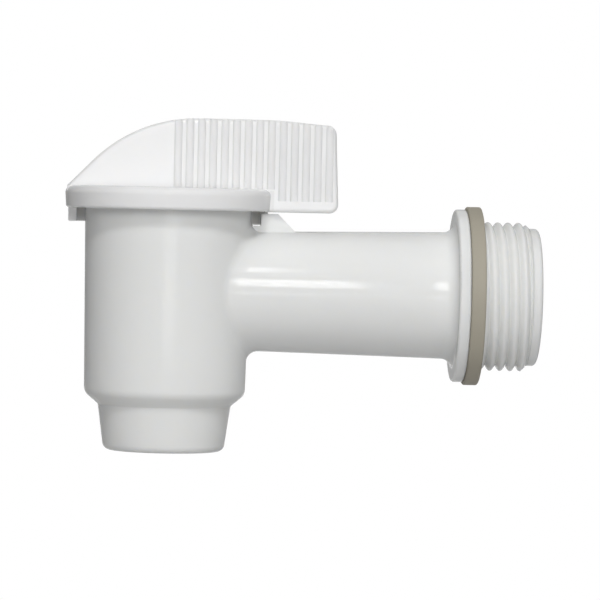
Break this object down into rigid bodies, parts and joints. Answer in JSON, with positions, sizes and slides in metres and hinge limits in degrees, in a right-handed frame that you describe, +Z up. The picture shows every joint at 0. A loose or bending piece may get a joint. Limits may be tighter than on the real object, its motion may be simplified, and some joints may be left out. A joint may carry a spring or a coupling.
{
  "type": "drum tap",
  "caption": "White plastic drum tap: threaded inlet arm with a sealing washer, upright barrel and spout, and a plug turned by a ribbed fin handle.",
  "frame": {"origin": "on the inlet thread's axis, at the inner end of the thread beside the washer's sealing face", "axes": "+X along the inlet thread into the drum, +Z up along the plug's axis towards the handle"},
  "size_m": [0.0842, 0.0366, 0.059],
  "materials": {
    "white_body": "white polyethylene moulding, soft gloss",
    "white_handle": "natural white polyethylene moulding, slightly translucent, soft gloss",
    "washer_rubber": "matt brown-grey rubber",
    "seal_rubber": "matt black rubber"
  },
  "bodies": {
    "tap": {"tap_body": "white_body", "flange_washer": "washer_rubber"},
    "rotor": {"handle_plug": "white_handle", "plug_o_ring": "seal_rubber"}
  },
  "joints": [
    {"name": "handle_turn", "type": "hinge", "parent": "tap", "child": "rotor", "pos_m": [-0.05555, 0, 0], "axis": [0, 0, 1], "range_deg": [0, 180]}
  ]
}
